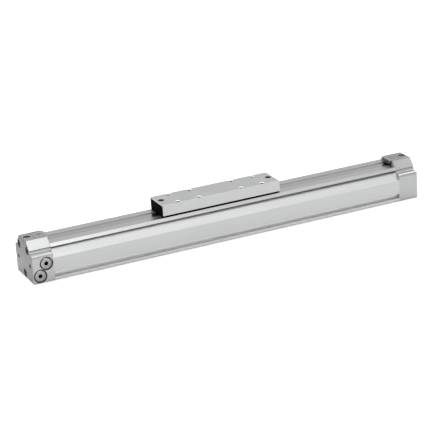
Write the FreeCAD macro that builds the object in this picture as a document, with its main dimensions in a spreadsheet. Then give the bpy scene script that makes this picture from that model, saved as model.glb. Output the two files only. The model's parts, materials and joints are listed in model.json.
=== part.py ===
import FreeCAD, Part
import math
import os
import Sketcher

# Rodless pneumatic cylinder with a slotted barrel, in millimetres.
# +X runs along the barrel, +Z is up through the slot, and the origin lies under
# the middle of the barrel, on the surface that it stands on.

DOC = FreeCAD.newDocument("RodlessCylinder")
SHEET = DOC.addObject("Spreadsheet::Sheet", "Dims")
X_AXIS = FreeCAD.Vector(1, 0, 0)
Y_AXIS = FreeCAD.Vector(0, 1, 0)
Z_AXIS = FreeCAD.Vector(0, 0, 1)
NODES = {}

DRIVING = {
    "stroke": 300,
    "carriage_offset": -10,
    "body_width": 60,
    "edge_break": 0.8,
    "fit_gap": 0.05,
    "running_gap": 0.3,
    "cut_past": 1,
    # barrel section
    "bore_width": 32,
    "bore_height": 25.6,
    "side_height": 29.5,
    "bevel": 9.8,
    "neck_gap": 2.5,
    "neck_width": 34,
    "head_width": 46,
    "head_slant": 3.5,
    "head_inset": 3.1,
    "slot_width": 7,
    "duct_width": 5,
    "duct_side": 23.5,
    "duct_height": 20,
    "groove_bottom": 4.3,
    "groove_mouth": 6.2,
    "groove_lip": 1.4,
    "groove_depth": 5.4,
    "groove_undercut": 1,
    # steel bands
    "outer_recess_width": 16,
    "outer_recess_depth": 1.3,
    "outer_band_thickness": 0.5,
    "inner_recess_width": 12.4,
    "inner_band_thickness": 0.5,
    "band_side_gap": 0.15,
    "outer_lift": 7.6,
    "outer_lift_flat": 31,
    "outer_lift_inset": 10,
    "inner_dip": 6.4,
    "inner_dip_flat": 22,
    "inner_dip_inset": 27.5,
    # end caps
    "cap_length": 28,
    "cap_height": 52,
    "cap_top_width": 26,
    "cap_head_width": 44,
    "cap_neck_width": 40.5,
    "cap_neck_gap": 1.2,
    "ledge_width": 43,
    "shelf_height": 37.5,
    "shoulder_radius": 4.5,
    "step_radius": 2.2,
    "boss_length": 6,
    "boss_gap": 0.1,
    "boss_ring_section": 1.6,
    "boss_ring_start": 1.8,
    "boss_ring_width": 2.2,
    "cap_screw_side": 14.2,
    "cap_screw_height": 39.7,
    "cap_screw_low": 5.6,
    "cap_screw_size": 5,
    "cap_screw_head": 8.5,
    "cap_screw_head_height": 5,
    "cap_screw_recess": 10.4,
    "cap_screw_recess_depth": 5.7,
    "cap_screw_length": 38,
    "cap_screw_socket": 4,
    "cap_screw_socket_depth": 3.8,
    "screw_edge": 0.4,
    "socket_depth": 2.8,
    "bracket_hole_side": 20.2,
    "bracket_hole_height": 21.5,
    "bracket_hole_width": 5,
    "bracket_hole_depth": 12,
    # air ports and plugs
    "lower_port_from_end": 9.2,
    "lower_port_height": 9.2,
    "upper_port_from_end": 18.2,
    "upper_port_height": 24.3,
    "port_width": 11.8,
    "port_depth": 14,
    "port_face_width": 17.7,
    "plug_face_depth": 3.8,
    "open_port_face_depth": 0.8,
    "plug_head_width": 14.6,
    "plug_head_height": 3,
    "plug_head_edge": 0.8,
    "plug_dish_width": 10.8,
    "plug_dish_depth": 0.5,
    "plug_length": 9,
    "plug_socket": 5.2,
    "plug_socket_depth": 6,
    "plug_ring_width": 16.8,
    "plug_ring_thickness": 0.8,
    "passage_width": 4,
    # cushioning
    "spigot_width": 12,
    "spigot_bore": 6,
    "spigot_reach": 20,
    "spigot_seat": 14,
    "spigot_taper": 1.2,
    "chamber_width": 8,
    "chamber_start": 3,
    "buffer_inner": 17,
    "buffer_outer": 25,
    "buffer_thickness": 2,
    "buffer_proud": 1,
    "end_clearance": 0.5,
    "needle_from_end": 5.8,
    "needle_head_width": 6.6,
    "needle_recess_width": 8.8,
    "needle_recess_depth": 8,
    "needle_head_height": 7.2,
    "needle_width": 4.8,
    "needle_tip_height": 29.8,
    "needle_cone": 2,
    "needle_tip_width": 1.2,
    "needle_socket": 3,
    "needle_ring_height": 38.4,
    "needle_ring_section": 0.9,
    "needle_running_gap": 0.08,
    # band clamps
    "clamp_start": 13.2,
    "clamp_channel_width": 21,
    "clamp_gap": 0.4,
    "clamp_overhang": 2.5,
    "clamp_lift": 2.1,
    "clamp_foot_end": 19,
    "clamp_radius": 4,
    "clamp_screw_from_end": 22,
    "clamp_screw_size": 4,
    "clamp_screw_head": 7,
    "clamp_screw_head_height": 3.6,
    "clamp_screw_recess": 7.5,
    "clamp_screw_recess_depth": 3.9,
    "clamp_screw_length": 14,
    "clamp_screw_socket": 2.5,
    "inner_band_reach": 12,
    "outer_band_reach": 14.5,
    # carriage
    "carriage_length": 166,
    "carriage_width": 40,
    "carriage_top": 62,
    "carriage_underside": 48,
    "carriage_radius": 1,
    "channel_width": 17.6,
    "channel_top": 54.5,
    "end_pocket_depth": 2,
    "end_skin": 1.3,
    "mount_outer_pitch": 120,
    "mount_inner_pitch": 60,
    "mount_row_pitch": 30,
    "mount_hole_width": 5,
    "mount_hole_depth": 9,
    "mount_countersink": 6.6,
    "cover_screw_from_end": 6.5,
    "cover_screw_size": 4,
    "cover_screw_head": 7,
    "cover_screw_head_height": 3.6,
    "cover_screw_recess": 8,
    "cover_screw_recess_depth": 4.2,
    "cover_screw_length": 10,
    "cover_screw_socket": 3,
    "cover_body_length": 16.4,
    "cover_skid_length": 6,
    "cover_ramp_rise": 1.4,
    "barrel_top_gap": 0.25,
    "wiper_thickness": 1.6,
    "wiper_height": 2.35,
    "strip_inner": 32.6,
    "strip_outer": 40,
    "strip_tongue": 36.4,
    "strip_tongue_height": 1.8,
    # piston and yoke
    "yoke_length": 72,
    "yoke_gap": 0.7,
    "web_length": 48,
    "web_gap": 0.3,
    "plate_length": 60,
    "plate_width": 31,
    "plate_gap": 0.25,
    "plate_bottom": 45.8,
    "plate_top": 50.4,
    "tunnel_width": 13,
    "tunnel_bottom": 34.4,
    "tunnel_top": 36.6,
    "tunnel_ramp_top": 40.6,
    "yoke_screw_side": 11.5,
    "yoke_screw_along": 22,
    "yoke_screw_size": 4,
    "yoke_screw_head": 7.4,
    "yoke_screw_head_height": 2.2,
    "yoke_screw_length": 9,
    "yoke_screw_socket": 2.5,
    "yoke_thread_spare": 0.5,
    "guide_thickness": 1,
    "guide_width": 16.4,
    "guide_slope": 3,
    "piston_reach": 89.5,
    "piston_gap": 0.5,
    "piston_bore": 14.4,
    "piston_bore_depth": 31.5,
    "piston_bolt_size": 8,
    "piston_bolt_head": 13,
    "piston_bolt_head_height": 8,
    "piston_bolt_hold": 16,
    "piston_bolt_socket": 6,
    "bolt_hole_gap": 0.2,
    "wear_ring_inset": 22.5,
    "wear_ring_width": 6,
    "wear_ring_depth": 1.4,
    "wear_ring_gap": 0.1,
    "magnet_inset": 14.5,
    "magnet_width": 4,
    "magnet_depth": 3,
    "seal_inset": 8,
    "seal_width": 4.6,
    "seal_depth": 2.9,
    "seal_gap": 0.3,
    "seal_lip": 0.8,
    "cushion_seal_inset": 1.2,
    "cushion_seal_width": 2.6,
    "cushion_seal_outer": 17.2,
    "cushion_seal_gap": 0.3,
}

# Places and sizes that follow from the driving ones, as spreadsheet expressions.
HALF_WIDTH = "(Dims.body_width / 2)"
BARREL_HALF = (
    "(Dims.stroke / 2 + Dims.piston_reach + Dims.end_clearance + Dims.buffer_proud + Dims.boss_length)"
)
CAP_END = f"({BARREL_HALF} + Dims.cap_length)"
BORE_TOP = "(Dims.bore_height + Dims.bore_width / 2)"
BEVEL_TOP = "(Dims.side_height + Dims.bevel)"
NECK_TOP = "(Dims.side_height + Dims.bevel + Dims.neck_gap)"
BARREL_TOP = "(Dims.side_height + Dims.bevel + Dims.neck_gap + Dims.head_slant)"
TOP_HALF = "(Dims.head_width / 2 - Dims.head_inset)"
RECESS_FLOOR = f"({BARREL_TOP} - Dims.outer_recess_depth)"
OUTER_BAND_TOP = f"({RECESS_FLOOR} + Dims.outer_band_thickness)"
INNER_BAND_TOP = f"({BORE_TOP} + Dims.inner_band_thickness)"
OUTER_BAND_WIDTH = "(Dims.outer_recess_width - 2 * Dims.band_side_gap)"
INNER_BAND_WIDTH = "(Dims.inner_recess_width - 2 * Dims.band_side_gap)"
BOSS_FACE = "(Dims.cap_length + Dims.boss_length)"
BOSS_RADIUS = "(Dims.bore_width / 2 - Dims.boss_gap)"
BOSS_RING_FLOOR = "(Dims.bore_width / 2 - Dims.boss_ring_section - Dims.fit_gap)"
CLAMP_SEAT = "(Dims.cap_height - Dims.clamp_screw_recess_depth)"
CLAMP_UNDERSIDE = f"({OUTER_BAND_TOP} + Dims.clamp_lift)"
CARRIAGE_HALF = "(Dims.carriage_length / 2)"
OUTER_LIFT_RAMP = f"({CARRIAGE_HALF} - Dims.outer_lift_inset - Dims.outer_lift_flat)"
COVER_INNER = f"({CARRIAGE_HALF} - Dims.end_pocket_depth)"
COVER_SCREW_SEAT = "(Dims.carriage_top - Dims.cover_screw_recess_depth)"
COVER_SCREW_X = f"({CARRIAGE_HALF} - Dims.cover_screw_from_end)"
SKID_HEIGHT = f"({BARREL_TOP} + Dims.barrel_top_gap)"
YOKE_HALF = "(Dims.yoke_length / 2)"
PISTON_FLOOR = "(Dims.piston_reach - Dims.piston_bore_depth)"
PISTON_BOLT_LENGTH = f"({PISTON_FLOOR} - {YOKE_HALF} + Dims.piston_bolt_hold)"
PISTON_RADIUS = "(Dims.bore_width / 2 - Dims.piston_gap)"
WEB_HALF = "(Dims.web_length / 2)"
INNER_DIP_END = "(Dims.piston_reach - Dims.inner_dip_inset)"
INNER_DIP_RAMP = f"({INNER_DIP_END} - Dims.inner_dip_flat)"
WEAR_RING_START = "(Dims.piston_reach - Dims.wear_ring_inset)"
MAGNET_START = "(Dims.piston_reach - Dims.magnet_inset)"
SEAL_START = "(Dims.piston_reach - Dims.seal_inset)"


def fill_sheet():
    """Write each driving size into the sheet under its own alias."""
    for row, (alias, size) in enumerate(DRIVING.items(), start=1):
        cell = f"A{row}"
        SHEET.set(cell, str(size))
        SHEET.setAlias(cell, alias)
    DOC.recompute()


def value(expression):
    """The number that an expression of the sheet's sizes gives now."""
    return float(SHEET.evalExpression(str(expression)))


def minus(expression):
    return f"-({expression})"


def new_body(label):
    """A body whose label names its file."""
    body = DOC.addObject("PartDesign::Body", label)
    body.Label = label
    NODES[label] = body
    return body


def hidden_body(label):
    """A body that is only the pattern for a group of equal pieces."""
    body = DOC.addObject("PartDesign::Body", label)
    body.Label = label
    return body


def place(item, x="0", y="0", z="0", turn=0, prop="Placement"):
    """Put an item at a place worked out from the sheet, turned about +Z."""
    setattr(item, prop, FreeCAD.Placement(FreeCAD.Vector(), FreeCAD.Rotation(Z_AXIS, turn)))
    for axis, expression in zip("xyz", (x, y, z)):
        item.setExpression(f"{prop}.Base.{axis}", str(expression))


def new_sketch(body, name, plane, offset=None):
    """A sketch on one of the body's origin planes, moved along the plane's normal."""
    sketch = body.newObject("Sketcher::SketchObject", name)
    planes = {item.Role: item for item in body.Origin.OriginFeatures}
    sketch.AttachmentSupport = [(planes[plane], "")]
    sketch.MapMode = "FlatFace"
    if offset is not None:
        sketch.setExpression("AttachmentOffset.Base.z", str(offset))
    return sketch


def pin_point(sketch, geometry, point, where):
    """Hold one end of a line or arc at a place given by two expressions."""
    for kind, expression in zip(("DistanceX", "DistanceY"), where):
        constraint = Sketcher.Constraint(kind, -1, 1, geometry, point, value(expression))
        index = sketch.addConstraint(constraint)
        sketch.setExpression(f"Constraints[{index}]", str(expression))


def add_outline(sketch, corners):
    """A closed outline of straight sides through corners given as expression pairs."""
    spots = [FreeCAD.Vector(value(across), value(up), 0) for across, up in corners]
    first = sketch.GeometryCount
    count = len(corners)
    for index in range(count):
        sketch.addGeometry(Part.LineSegment(spots[index], spots[(index + 1) % count]), False)
    for index in range(count):
        following = first + (index + 1) % count
        sketch.addConstraint(Sketcher.Constraint("Coincident", first + index, 2, following, 1))
    for index, corner in enumerate(corners):
        pin_point(sketch, first + index, 1, corner)


def mirrored(half):
    """Both halves of an outline that is symmetric about the middle plane."""
    return half + [(minus(across), up) for across, up in reversed(half)]


def rectangle(low, high):
    """The corners of a rectangle between two opposite corners."""
    return [(low[0], low[1]), (high[0], low[1]), (high[0], high[1]), (low[0], high[1])]


def add_circle(sketch, centre, radius):
    """A circle whose centre and radius follow the sheet."""
    middle = FreeCAD.Vector(value(centre[0]), value(centre[1]), 0)
    index = sketch.addGeometry(Part.Circle(middle, Z_AXIS, value(radius)), False)
    pin_point(sketch, index, 3, centre)
    constraint = sketch.addConstraint(Sketcher.Constraint("Radius", index, value(radius)))
    sketch.setExpression(f"Constraints[{constraint}]", str(radius))


def extrude(body, kind, name, sketch, length, symmetric=False, backwards=False):
    """Pad or Pocket a sketch by a length from the sheet."""
    feature = body.newObject(f"PartDesign::{kind}", name)
    feature.Profile = sketch
    feature.setExpression("Length", str(length))
    feature.SideType = "Symmetric" if symmetric else "One side"
    feature.Reversed = backwards
    return feature


def cut_through(body, name, sketch, length):
    """Pocket a sketch to both sides of its plane, a little past the given length."""
    return extrude(body, "Pocket", name, sketch, f"{length} + 2 * Dims.edge_break", symmetric=True)


def set_block(feature, low, high):
    """Size and place a box feature between two corners."""
    for side, start, end in zip(("Length", "Width", "Height"), low, high):
        feature.setExpression(side, f"({end}) - ({start})")
    place(feature, *low)


def mill(body, name, low, high):
    """Cut a box between two corners given as expressions."""
    set_block(body.newObject("PartDesign::SubtractiveBox", name), low, high)


def add_block(body, name, low, high):
    """Add a box between two corners given as expressions."""
    set_block(body.newObject("PartDesign::AdditiveBox", name), low, high)


DIRECTIONS = {
    "+x": (Y_AXIS, 90),
    "-x": (Y_AXIS, -90),
    "+y": (X_AXIS, -90),
    "-y": (X_AXIS, 90),
    "+z": (X_AXIS, 0),
    "-z": (X_AXIS, 180),
}


def aim(feature, start, direction):
    """Point a round feature's axis along a direction from a starting place."""
    axis, angle = DIRECTIONS[direction]
    feature.Placement = FreeCAD.Placement(FreeCAD.Vector(), FreeCAD.Rotation(axis, angle))
    for letter, expression in zip("xyz", start):
        feature.setExpression(f"Placement.Base.{letter}", str(expression))


def drill(body, name, width, depth, start, direction):
    """Cut a round hole of a given width and depth from a starting place."""
    hole = body.newObject("PartDesign::SubtractiveCylinder", name)
    hole.setExpression("Radius", f"({width}) / 2")
    hole.setExpression("Height", str(depth))
    aim(hole, start, direction)


def add_round(body, name, width, length, start, direction):
    """Add a round bar of a given width and length from a starting place."""
    bar = body.newObject("PartDesign::AdditiveCylinder", name)
    bar.setExpression("Radius", f"({width}) / 2")
    bar.setExpression("Height", str(length))
    aim(bar, start, direction)


def cut_ring(body, name, inner_radius, outer_radius, start, width):
    """Cut a ring-shaped groove about the bore's axis, from start along +X."""
    sketch = new_sketch(body, f"{name}_outline", "YZ_Plane", start)
    centre = ("0", "Dims.bore_height")
    add_circle(sketch, centre, inner_radius)
    add_circle(sketch, centre, outer_radius)
    extrude(body, "Pocket", name, sketch, width, backwards=True)


def edges_at(feature, test):
    """Names of the edges whose middle passes a test."""
    names = []
    for number, edge in enumerate(feature.Shape.Edges, start=1):
        middle = edge.valueAt((edge.FirstParameter + edge.LastParameter) / 2)
        if test(edge, middle):
            names.append(f"Edge{number}")
    return names


def dress(body, kind, name, size, test):
    """Fillet or Chamfer the edges of the body's last feature that pass a test."""
    DOC.recompute()
    base = body.Tip
    feature = body.newObject(f"PartDesign::{kind}", name)
    feature.Base = (base, edges_at(base, test))
    feature.setExpression("Radius" if kind == "Fillet" else "Size", str(size))
    DOC.recompute()


def near(first, second):
    return abs(first - second) < 0.01


def socket_screw(
    body, size, length, head_width, head_height, socket, depth="Dims.socket_depth", edge="Dims.screw_edge",
):
    """A screw with a hexagon socket: head above the origin, shank below it."""
    add_round(body, "shank", f"{size} - 2 * Dims.fit_gap", length, ("0", "0", "0"), "-z")
    add_round(body, "head", head_width, head_height, ("0", "0", "0"), "+z")
    top_edge = value(head_height)
    dress(body, "Chamfer", "head_edge", edge, lambda rim, middle: near(middle.z, top_edge))
    cut_socket(body, socket, depth, head_height)


def cut_socket(body, width, depth, top):
    """Cut a hexagon socket down from a head's top face."""
    hexagon = body.newObject("PartDesign::SubtractivePrism", "socket")
    hexagon.Polygon = 6
    hexagon.setExpression("Circumradius", f"{width} / sqrt(3)")
    hexagon.setExpression("Height", str(depth))
    place(hexagon, z=f"{top} - {depth}")


def group(label, pattern, spots):
    """Equal pieces in one node: a link to the pattern at each spot."""
    links = []
    for index, (start, direction) in enumerate(spots):
        link = DOC.addObject("App::Link", f"{label}_{index}")
        link.LinkedObject = pattern
        axis, angle = DIRECTIONS[direction]
        turned = FreeCAD.Rotation(axis, angle)
        link.LinkPlacement = FreeCAD.Placement(FreeCAD.Vector(), turned)
        for letter, expression in zip("xyz", start):
            link.setExpression(f"LinkPlacement.Base.{letter}", str(expression))
        links.append(link)
    compound = DOC.addObject("Part::Compound", label)
    compound.Label = label
    compound.Links = links
    NODES[label] = compound


def barrel():
    """Slotted extrusion: body, bevels, neck and head, with bore, slot and side grooves."""
    body = new_body("barrel")
    section = new_sketch(body, "section", "YZ_Plane")
    half = [
        (f"{HALF_WIDTH} - Dims.edge_break", "0"),
        (HALF_WIDTH, "Dims.edge_break"),
        (HALF_WIDTH, "Dims.side_height"),
        (f"{HALF_WIDTH} - Dims.bevel", BEVEL_TOP),
        ("Dims.neck_width / 2", BEVEL_TOP),
        ("Dims.neck_width / 2", NECK_TOP),
        ("Dims.head_width / 2", NECK_TOP),
        (TOP_HALF, BARREL_TOP),
    ]
    add_outline(section, mirrored(half))
    length = f"2 * {BARREL_HALF}"
    extrude(body, "Pad", "extrusion", section, length, symmetric=True)

    bore = new_sketch(body, "bore_outline", "YZ_Plane")
    add_circle(bore, ("0", "Dims.bore_height"), "Dims.bore_width / 2")
    cut_through(body, "bore", bore, length)

    past_top = f"{BARREL_TOP} + Dims.edge_break"
    cuts = {
        "slot": ("Dims.slot_width / 2", "Dims.bore_height", past_top),
        "outer_recess": ("Dims.outer_recess_width / 2", RECESS_FLOOR, past_top),
        "inner_recess": ("Dims.inner_recess_width / 2", "Dims.bore_height", INNER_BAND_TOP),
    }
    for name, (reach, low, high) in cuts.items():
        outline = new_sketch(body, f"{name}_outline", "YZ_Plane")
        add_outline(outline, rectangle((minus(reach), low), (reach, high)))
        cut_through(body, name, outline, length)

    mouth_top = "Dims.groove_bottom + Dims.groove_mouth"
    lip = f"{HALF_WIDTH} - Dims.groove_lip"
    floor = f"{HALF_WIDTH} - Dims.groove_depth"
    groove = [
        (f"{HALF_WIDTH} + Dims.edge_break", "Dims.groove_bottom"),
        (f"{HALF_WIDTH} + Dims.edge_break", mouth_top),
        (lip, mouth_top),
        (lip, f"{mouth_top} + Dims.groove_undercut"),
        (floor, f"{mouth_top} + Dims.groove_undercut"),
        (floor, "Dims.groove_bottom - Dims.groove_undercut"),
        (lip, "Dims.groove_bottom - Dims.groove_undercut"),
        (lip, "Dims.groove_bottom"),
    ]
    for side, sign in (("front", "-1"), ("back", "1")):
        outline = new_sketch(body, f"{side}_groove_outline", "YZ_Plane")
        add_outline(outline, [(f"{sign} * ({across})", up) for across, up in groove])
        cut_through(body, f"{side}_groove", outline, length)
        drill(
            body, f"{side}_duct", "Dims.duct_width", length,
            (minus(BARREL_HALF), f"{sign} * Dims.duct_side", "Dims.duct_height"), "+x",
        )

    reach = "Dims.cap_screw_length + Dims.cap_screw_recess_depth - Dims.cap_length"
    for number, (across, up) in enumerate(CAP_SCREW_SPOTS):
        for end, start, direction in (("left", minus(BARREL_HALF), "+x"), ("right", BARREL_HALF, "-x")):
            drill(
                body, f"{end}_thread_{number}", "Dims.cap_screw_size", reach,
                (start, across, up), direction,
            )


CAP_SCREW_SPOTS = [
    (minus("Dims.cap_screw_side"), "Dims.cap_screw_height"),
    ("Dims.cap_screw_side", "Dims.cap_screw_height"),
    ("0", "Dims.cap_screw_low"),
]
PORT_SPOTS = {
    "lower": ("Dims.lower_port_from_end", "Dims.lower_port_height"),
    "upper": ("Dims.upper_port_from_end", "Dims.upper_port_height"),
}


def end_cap(label, end, turn, ported):
    """End cap, drawn with its outer face at x = 0 and its boss towards +X."""
    body = new_body(label)
    section = new_sketch(body, "section", "YZ_Plane")
    half = [
        (f"{HALF_WIDTH} - Dims.edge_break", "0"),
        (HALF_WIDTH, "Dims.edge_break"),
        (HALF_WIDTH, "Dims.shelf_height"),
        ("Dims.ledge_width / 2", "Dims.shelf_height"),
        ("Dims.ledge_width / 2", f"{NECK_TOP} - Dims.cap_neck_gap"),
        ("Dims.cap_neck_width / 2", f"{NECK_TOP} - Dims.cap_neck_gap"),
        ("Dims.cap_neck_width / 2", NECK_TOP),
        ("Dims.cap_head_width / 2", NECK_TOP),
        ("Dims.cap_top_width / 2", "Dims.cap_height"),
    ]
    add_outline(section, mirrored(half))
    extrude(body, "Pad", "casting", section, "Dims.cap_length")

    shelf = value("Dims.shelf_height")
    side = value(HALF_WIDTH)
    ledge = value("Dims.ledge_width / 2")
    dress(
        body, "Fillet", "shoulders", "Dims.shoulder_radius",
        lambda edge, middle: near(abs(middle.y), side) and near(middle.z, shelf),
    )
    dress(
        body, "Fillet", "steps", "Dims.step_radius",
        lambda edge, middle: near(abs(middle.y), ledge) and near(middle.z, shelf),
    )

    add_round(
        body, "boss", f"2 * {BOSS_RADIUS}", "Dims.boss_length",
        ("Dims.cap_length", "0", "Dims.bore_height"), "+x",
    )
    cut_ring(
        body, "ring_groove", BOSS_RING_FLOOR, "Dims.bore_width / 2",
        "Dims.cap_length + Dims.boss_ring_start", "Dims.boss_ring_width",
    )
    cut_ring(
        body, "buffer_seat", "Dims.buffer_inner / 2 - Dims.fit_gap", "Dims.buffer_outer / 2 + Dims.fit_gap",
        f"{BOSS_FACE} - Dims.buffer_thickness + Dims.buffer_proud", "Dims.buffer_thickness",
    )
    drill(
        body, "spigot_seat", "Dims.spigot_width + 2 * Dims.fit_gap", f"{BOSS_FACE} - Dims.spigot_seat",
        ("Dims.spigot_seat", "0", "Dims.bore_height"), "+x",
    )
    drill(
        body, "chamber", "Dims.chamber_width", "Dims.spigot_seat - Dims.chamber_start",
        ("Dims.chamber_start", "0", "Dims.bore_height"), "+x",
    )
    past_inner = "Dims.cap_length + Dims.cut_past"
    mill(
        body, "clamp_channel",
        ("Dims.clamp_start", minus("Dims.clamp_channel_width / 2"), RECESS_FLOOR),
        (past_inner, "Dims.clamp_channel_width / 2", "Dims.cap_height + Dims.cut_past"),
    )
    mill(
        body, "inner_band_slot",
        ("Dims.cap_length - Dims.inner_band_reach - Dims.fit_gap", minus("Dims.inner_recess_width / 2"),
         f"{BORE_TOP} - Dims.fit_gap"),
        (past_inner, "Dims.inner_recess_width / 2", f"{INNER_BAND_TOP} + Dims.fit_gap"),
    )
    drill(
        body, "clamp_thread", "Dims.clamp_screw_size", "Dims.clamp_screw_length",
        ("Dims.clamp_screw_from_end", "0", RECESS_FLOOR), "-z",
    )
    for number, (across, up) in enumerate(CAP_SCREW_SPOTS):
        drill(
            body, f"screw_hole_{number}", "Dims.cap_screw_size + 2 * Dims.fit_gap", "Dims.cap_length",
            ("0", across, up), "+x",
        )
        drill(
            body, f"screw_recess_{number}", "Dims.cap_screw_recess", "Dims.cap_screw_recess_depth",
            ("0", across, up), "+x",
        )
    for number, sign in enumerate(("-1", "1")):
        drill(
            body, f"bracket_hole_{number}", "Dims.bracket_hole_width", "Dims.bracket_hole_depth",
            ("0", f"{sign} * Dims.bracket_hole_side", "Dims.bracket_hole_height"), "+x",
        )
    needle_spot = ("Dims.needle_from_end", "0", "Dims.cap_height")
    drill(body, "needle_recess", "Dims.needle_recess_width", "Dims.needle_recess_depth", needle_spot, "-z")
    drill(
        body, "needle_hole", "Dims.needle_width + 2 * Dims.needle_running_gap",
        "Dims.cap_height - Dims.bore_height", needle_spot, "-z",
    )
    if ported:
        cut_ports(body)
    else:
        cut_cross_passage(body)
    place(body, x=end, turn=turn)


def cut_ports(body):
    """Lower and upper air ports on both sides, and the passages behind them."""
    for side, sign, direction in (("front", "-1", "+y"), ("back", "1", "-y")):
        face = f"{sign} * {HALF_WIDTH}"
        face_depth = "Dims.plug_face_depth" if side == "front" else "Dims.open_port_face_depth"
        for name, (along, up) in PORT_SPOTS.items():
            spot = (along, face, up)
            drill(body, f"{side}_{name}_face", "Dims.port_face_width", face_depth, spot, direction)
            drill(body, f"{side}_{name}_port", "Dims.port_width", "Dims.port_depth", spot, direction)
        inner = f"{sign} * ({HALF_WIDTH} - Dims.port_depth)"
        drill(
            body, f"{side}_riser", "Dims.passage_width", "Dims.bore_height - Dims.lower_port_height",
            ("Dims.lower_port_from_end", inner, "Dims.lower_port_height"), "+z",
        )
        drill(
            body, f"{side}_crossing", "Dims.passage_width", f"{HALF_WIDTH} - Dims.port_depth",
            ("Dims.lower_port_from_end", inner, "Dims.bore_height"), direction,
        )
        drill(
            body, f"{side}_duct", "Dims.duct_width", "Dims.cap_length - Dims.upper_port_from_end",
            ("Dims.upper_port_from_end", f"{sign} * Dims.duct_side", "Dims.duct_height"), "+x",
        )


def cut_cross_passage(body):
    """Ducts from the barrel, joined across the cap to its air chamber."""
    along = "(Dims.spigot_seat - Dims.duct_width / 2)"
    for side, sign in (("front", "-1"), ("back", "1")):
        drill(
            body, f"{side}_duct", "Dims.duct_width", f"Dims.cap_length - {along}",
            (along, f"{sign} * Dims.duct_side", "Dims.duct_height"), "+x",
        )
    drill(
        body, "crossing", "Dims.duct_width", "2 * Dims.duct_side",
        (along, minus("Dims.duct_side"), "Dims.duct_height + Dims.duct_width / 4"), "+y",
    )


def end_cap_screws():
    pattern = hidden_body("cap_screw")
    socket_screw(
        pattern, "Dims.cap_screw_size", "Dims.cap_screw_length",
        "Dims.cap_screw_head", "Dims.cap_screw_head_height", "Dims.cap_screw_socket",
        depth="Dims.cap_screw_socket_depth",
    )
    seat = "Dims.cap_screw_recess_depth"
    spots = []
    for across, up in CAP_SCREW_SPOTS:
        spots.append(((f"-{CAP_END} + {seat}", across, up), "-x"))
        spots.append(((f"{CAP_END} - {seat}", across, up), "+x"))
    group("end_cap_screws", pattern, spots)


def ring(label, inner, outer, start, width, x="0", turn=0):
    """A flat ring about the bore's axis, from start along +X before it is turned."""
    body = new_body(label)
    sketch = new_sketch(body, "section", "YZ_Plane", start)
    centre = ("0", "Dims.bore_height")
    add_circle(sketch, centre, f"({inner}) / 2")
    add_circle(sketch, centre, f"({outer}) / 2")
    extrude(body, "Pad", "ring", sketch, width)
    place(body, x=x, turn=turn)
    return body


def end_cap_ring(label, end, turn):
    """Round sealing ring in the groove of an end cap's boss."""
    body = new_body(label)
    torus = body.newObject("PartDesign::AdditiveTorus", "ring")
    torus.setExpression("Radius1", f"{BOSS_RING_FLOOR} + Dims.boss_ring_section / 2")
    torus.setExpression("Radius2", "Dims.boss_ring_section / 2")
    middle = "Dims.cap_length + Dims.boss_ring_start + Dims.boss_ring_width / 2"
    aim(torus, (middle, "0", "Dims.bore_height"), "+x")
    place(body, x=end, turn=turn)


def cushion_spigot(label, end, turn):
    """Hollow spigot that enters the piston at the end of the stroke."""
    body = new_body(label)
    taper_start = f"({BOSS_FACE} + Dims.spigot_reach - Dims.spigot_taper)"
    length = f"({taper_start} - Dims.spigot_seat)"
    start = ("Dims.spigot_seat", "0", "Dims.bore_height")
    add_round(body, "tube", "Dims.spigot_width", length, start, "+x")
    taper = body.newObject("PartDesign::AdditiveCone", "taper")
    taper.setExpression("Radius1", "Dims.spigot_width / 2")
    taper.setExpression("Radius2", "Dims.spigot_width / 2 - Dims.spigot_taper")
    taper.setExpression("Height", "Dims.spigot_taper")
    aim(taper, (taper_start, "0", "Dims.bore_height"), "+x")
    drill(body, "air_hole", "Dims.spigot_bore", f"{length} + Dims.spigot_taper", start, "+x")
    place(body, x=end, turn=turn)


def port_plugs():
    """Two plugs in the front ports of the left cap, each on a sealing ring."""
    seat = f"-{HALF_WIDTH} + Dims.plug_face_depth - Dims.plug_ring_thickness"
    plug = hidden_body("plug")
    socket_screw(
        plug, "Dims.port_width", "Dims.plug_length",
        "Dims.plug_head_width", "Dims.plug_head_height", "Dims.plug_socket",
        depth="Dims.plug_socket_depth", edge="Dims.plug_head_edge",
    )
    drill(
        plug, "dish", "Dims.plug_dish_width", "Dims.plug_dish_depth", ("0", "0", "Dims.plug_head_height"),
        "-z",
    )
    spots = [((f"-{CAP_END} + {along}", seat, up), "-y") for along, up in PORT_SPOTS.values()]
    group("port_plugs", plug, spots)

    washer = hidden_body("plug_ring")
    section = new_sketch(washer, "section", "XY_Plane")
    add_circle(section, ("0", "0"), "Dims.port_width / 2")
    add_circle(section, ("0", "0"), "Dims.plug_ring_width / 2")
    extrude(washer, "Pad", "ring", section, "Dims.plug_ring_thickness", backwards=True)
    group("port_plug_rings", washer, spots)


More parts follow.
